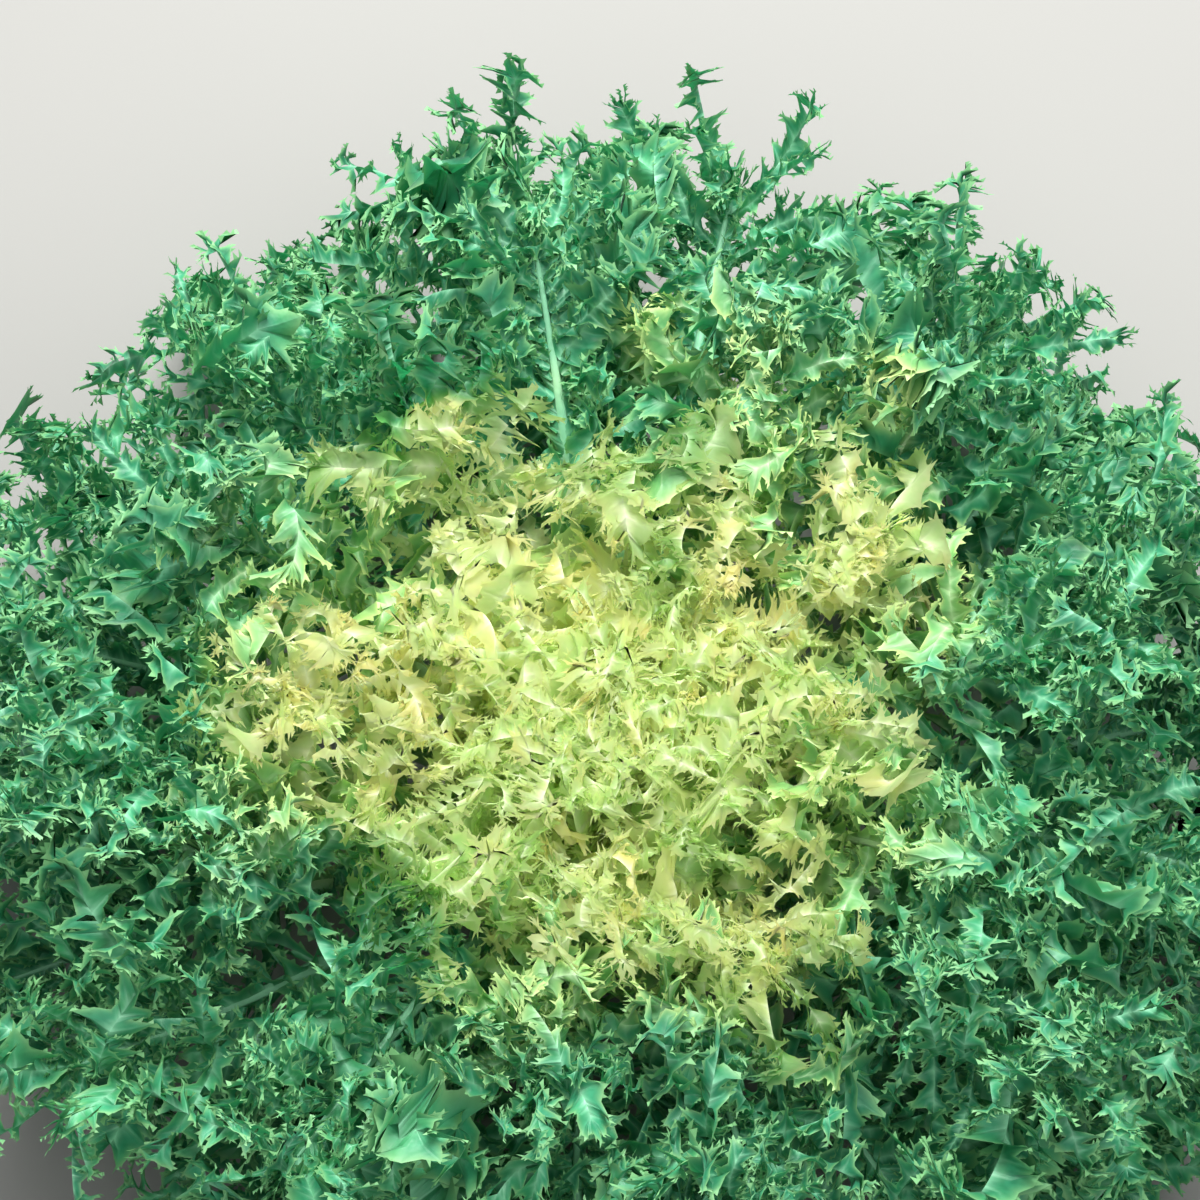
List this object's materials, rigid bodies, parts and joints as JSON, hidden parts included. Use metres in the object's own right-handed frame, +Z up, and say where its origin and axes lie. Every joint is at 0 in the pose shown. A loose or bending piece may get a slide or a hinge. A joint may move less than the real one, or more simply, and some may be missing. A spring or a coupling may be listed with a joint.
{
  "type": "curly endive head",
  "caption": "Whole curly endive head standing on its cut stem: a spiral of frilled, toothed green leaves round a pale yellow heart.",
  "frame": {"origin": "centre of the stem's flat cut face, on which the head rests", "axes": "+Z up along the stem towards the heart; +X to the side, about 15 degrees counterclockwise, as seen from above, of the lowest, outermost leaf"},
  "size_m": [0.4247, 0.4262, 0.1643],
  "materials": {
    "green_leaf": "thin green leaf blade, satin, with paler ribs and yellow-green teeth",
    "lime_leaf": "thin yellow-green leaf blade, satin, with pale ribs and teeth",
    "heart_leaf": "thin translucent pale yellow leaf blade, satin, with cream ribs",
    "stem": "cream-white stem with a matt cut face"
  },
  "bodies": {
    "root": {"stem_core": "stem", "green_leaf_01": "green_leaf", "green_leaf_02": "green_leaf", "green_leaf_03": "green_leaf", "green_leaf_04": "green_leaf", "green_leaf_05": "green_leaf", "green_leaf_06": "green_leaf", "green_leaf_07": "green_leaf", "green_leaf_08": "green_leaf", "green_leaf_09": "green_leaf", "green_leaf_10": "green_leaf", "green_leaf_11": "green_leaf", "green_leaf_12": "green_leaf", "green_leaf_13": "green_leaf", "green_leaf_14": "green_leaf", "green_leaf_15": "green_leaf", "green_leaf_16": "green_leaf", "green_leaf_17": "green_leaf", "green_leaf_18": "green_leaf", "green_leaf_19": "green_leaf", "green_leaf_20": "green_leaf", "green_leaf_21": "green_leaf", "green_leaf_22": "green_leaf", "green_leaf_23": "green_leaf", "green_leaf_24": "green_leaf", "green_leaf_25": "green_leaf", "green_leaf_26": "green_leaf", "green_leaf_27": "green_leaf", "green_leaf_28": "green_leaf", "green_leaf_29": "green_leaf", "green_leaf_30": "green_leaf", "lime_leaf_31": "lime_leaf", "lime_leaf_32": "lime_leaf", "lime_leaf_33": "lime_leaf", "lime_leaf_34": "lime_leaf", "lime_leaf_35": "lime_leaf", "heart_leaf_36": "heart_leaf", "lime_leaf_37": "lime_leaf", "heart_leaf_38": "heart_leaf", "heart_leaf_39": "heart_leaf", "heart_leaf_40": "heart_leaf", "heart_leaf_41": "heart_leaf", "heart_leaf_42": "heart_leaf", "heart_leaf_43": "heart_leaf", "heart_leaf_44": "heart_leaf", "heart_leaf_45": "heart_leaf", "heart_leaf_46": "heart_leaf", "heart_leaf_47": "heart_leaf", "heart_leaf_48": "heart_leaf", "heart_leaf_49": "heart_leaf", "heart_leaf_50": "heart_leaf", "heart_leaf_51": "heart_leaf", "heart_leaf_52": "heart_leaf", "heart_leaf_53": "heart_leaf", "heart_leaf_54": "heart_leaf", "heart_bud": "heart_leaf"}
  },
  "joints": []
}
